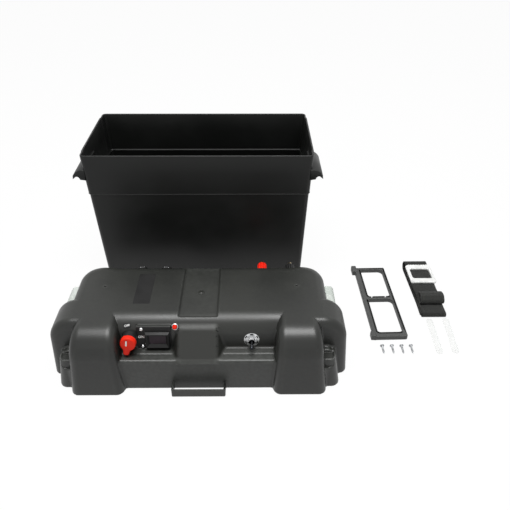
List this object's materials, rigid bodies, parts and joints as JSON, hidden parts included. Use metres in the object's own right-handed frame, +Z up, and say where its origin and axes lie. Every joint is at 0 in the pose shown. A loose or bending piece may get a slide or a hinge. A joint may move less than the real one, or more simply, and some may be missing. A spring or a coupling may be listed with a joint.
{
  "type": "battery box with outlet lid",
  "caption": "Open battery case with its outlet lid set in front, a spacer frame, a folded webbing strap with buckle, floor screws and clear strips beside it.",
  "frame": {"origin": "centre of the case base, on the surface it stands on", "axes": "+Z up, +X along the case, -Y from the case towards the lid in front"},
  "size_m": [0.6947, 0.491, 0.276],
  "materials": {
    "case_plastic": "fine moulded texture, slightly glossy at the rim",
    "lid_plastic": "satin moulded plastic",
    "frame_plastic": "satin moulded plastic",
    "black_plastic": "satin",
    "black_gloss": "polished",
    "red_plastic": "polished",
    "white_plastic": "satin",
    "clear_vinyl": "translucent",
    "lamp_lens": "ribbed translucent",
    "circuit_board": "matt",
    "meter_glass": "dark tinted",
    "bright_steel": "bright plated",
    "zinc_steel": "zinc plated",
    "dark_steel": "dark plated",
    "contact_brass": "bare",
    "webbing": "woven"
  },
  "bodies": {
    "case": {"case_shell": "case_plastic", "floor_screws": "zinc_steel", "clear_strips": "clear_vinyl"},
    "lid": {"lid_shell": "lid_plastic", "control_plate": "black_gloss", "plate_screws": "bright_steel", "switch_bush": "black_plastic", "switch_housing": "black_plastic", "switch_studs": "contact_brass", "switch_nuts": "zinc_steel", "meter_bezel": "black_gloss", "meter_window": "meter_glass", "meter_housing": "black_plastic", "meter_tabs": "contact_brass", "breaker_body": "black_plastic", "breaker_ring": "bright_steel", "breaker_nut": "bright_steel", "breaker_tabs": "contact_brass", "toggle_plate": "bright_steel", "toggle_bush": "bright_steel", "toggle_nut": "bright_steel", "toggle_body": "black_plastic", "toggle_tabs": "contact_brass", "socket_shell_left": "black_plastic", "socket_shell_right": "black_plastic", "socket_contacts": "contact_brass", "socket_nuts": "black_plastic", "socket_cap_pins": "zinc_steel", "post_base_red": "red_plastic", "post_base_black": "black_plastic", "post_studs": "contact_brass", "post_nuts": "zinc_steel", "lamp_bases": "black_plastic", "lamp_boards": "circuit_board", "lamp_lenses": "lamp_lens", "lamp_screws": "zinc_steel"},
    "switch_key": {"switch_key": "red_plastic"},
    "reset_button": {"reset_button": "red_plastic"},
    "toggle_lever": {"toggle_lever": "dark_steel"},
    "socket_cap_left": {"socket_cap_left": "black_plastic"},
    "socket_cap_right": {"socket_cap_right": "black_plastic"},
    "post_knob_red": {"post_knob_red": "red_plastic"},
    "post_knob_black": {"post_knob_black": "black_plastic"},
    "spacer_frame": {"spacer_frame": "frame_plastic"},
    "strap": {"strap_webbing": "webbing", "strap_buckle": "white_plastic"}
  },
  "joints": [
    {"name": "lid_lift", "type": "slide", "parent": "case", "child": "lid", "axis": [0, 0, 1], "range_m": [0, 0.3]},
    {"name": "frame_lift", "type": "slide", "parent": "case", "child": "spacer_frame", "axis": [0, 0, 1], "range_m": [0, 0.3]},
    {"name": "strap_lift", "type": "slide", "parent": "case", "child": "strap", "axis": [0, 0, 1], "range_m": [0, 0.3]},
    {"name": "key_turn", "type": "hinge", "parent": "lid", "child": "switch_key", "pos_m": [-0.097, -0.34405, 0.085], "axis": [0, -0.9925, 0.1219], "range_deg": [0, 180]},
    {"name": "reset_press", "type": "slide", "parent": "lid", "child": "reset_button", "axis": [0, 0.8387, -0.5446], "range_m": [0, 0.0025], "stiffness_N_per_m": 400, "springref_m": -0.002},
    {"name": "toggle_flip", "type": "hinge", "parent": "lid", "child": "toggle_lever", "pos_m": [0.095, -0.34485, 0.0785], "axis": [-1, 0, 0], "range_deg": [0, 26]},
    {"name": "left_cap_open", "type": "hinge", "parent": "lid", "child": "socket_cap_left", "pos_m": [-0.102, -0.18069, 0.09684], "axis": [1, 0, 0], "range_deg": [0, 150]},
    {"name": "right_cap_open", "type": "hinge", "parent": "lid", "child": "socket_cap_right", "pos_m": [-0.0585, -0.18069, 0.09684], "axis": [1, 0, 0], "range_deg": [0, 150]},
    {"name": "red_knob_turn", "type": "hinge", "parent": "lid", "child": "post_knob_red", "pos_m": [0.1145, -0.18654, 0.083], "axis": [0, 0.9976, 0.0698], "continuous": true},
    {"name": "black_knob_turn", "type": "hinge", "parent": "lid", "child": "post_knob_black", "pos_m": [0.166, -0.18633, 0.08], "axis": [0, 0.9976, 0.0698], "continuous": true}
  ]
}
